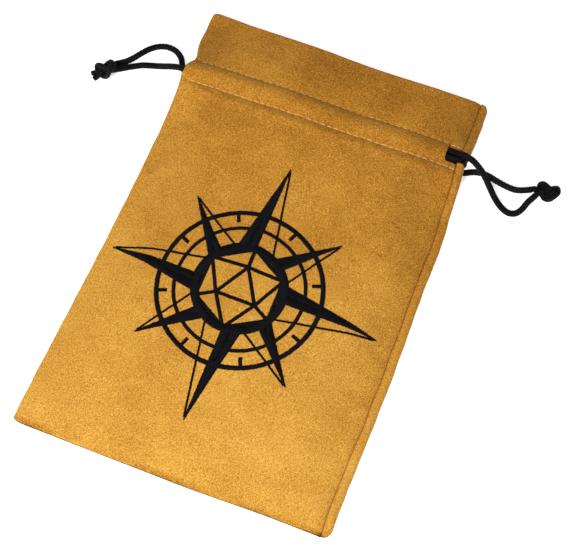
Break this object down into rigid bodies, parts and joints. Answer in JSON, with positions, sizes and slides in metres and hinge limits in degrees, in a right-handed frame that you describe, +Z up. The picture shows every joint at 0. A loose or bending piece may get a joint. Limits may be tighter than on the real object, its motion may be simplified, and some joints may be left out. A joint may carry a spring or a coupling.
{
  "type": "drawstring dice bag",
  "caption": "Flat soft-cloth pouch with a stitched drawstring channel below its mouth, a knotted cord loop at each side and an embroidered star badge; holds small game pieces.",
  "frame": {"origin": "centre of the bag's footprint on the surface it lies on, without the free cords and knots", "axes": "+Y from the bottom seam to the mouth, +Z up out of the front panel, +X to the side where the right cord leaves"},
  "size_m": [0.2066, 0.199, 0.0133],
  "materials": {
    "cloth": "brushed suede-like cloth, matte with a short nap",
    "facing_cloth": "brushed suede-like cloth, matte, turned-in side",
    "sewing_thread": "spun polyester sewing thread, low sheen",
    "embroidery_thread": "rayon embroidery thread, satin",
    "cord": "round braided cord, satin"
  },
  "bodies": {
    "bag": {"front_panel": "cloth", "back_panel": "cloth", "front_facing": "facing_cloth", "back_facing": "facing_cloth", "left_seam_allowance": "facing_cloth", "right_seam_allowance": "facing_cloth", "bottom_seam_allowance": "facing_cloth", "left_seam_thread": "sewing_thread", "right_seam_thread": "sewing_thread", "bottom_seam_thread": "sewing_thread", "front_lower_stitch_row": "sewing_thread", "front_upper_stitch_row": "sewing_thread", "back_lower_stitch_row": "sewing_thread", "back_upper_stitch_row": "sewing_thread", "embroidered_badge": "embroidery_thread", "left_cord_run": "cord", "right_cord_run": "cord"},
    "left_cord": {"left_cord_front_strand": "cord", "left_cord_back_strand": "cord", "left_cord_front_tail": "cord", "left_cord_back_tail": "cord", "left_cord_knot": "cord"},
    "right_cord": {"right_cord_front_strand": "cord", "right_cord_back_strand": "cord", "right_cord_front_tail": "cord", "right_cord_back_tail": "cord", "right_cord_knot": "cord"}
  },
  "joints": [
    {"name": "left_cord_pull", "type": "slide", "parent": "bag", "child": "left_cord", "axis": [-1, 0, 0], "range_m": [0, 0.09]},
    {"name": "right_cord_pull", "type": "slide", "parent": "bag", "child": "right_cord", "axis": [1, 0, 0], "range_m": [0, 0.09]}
  ]
}
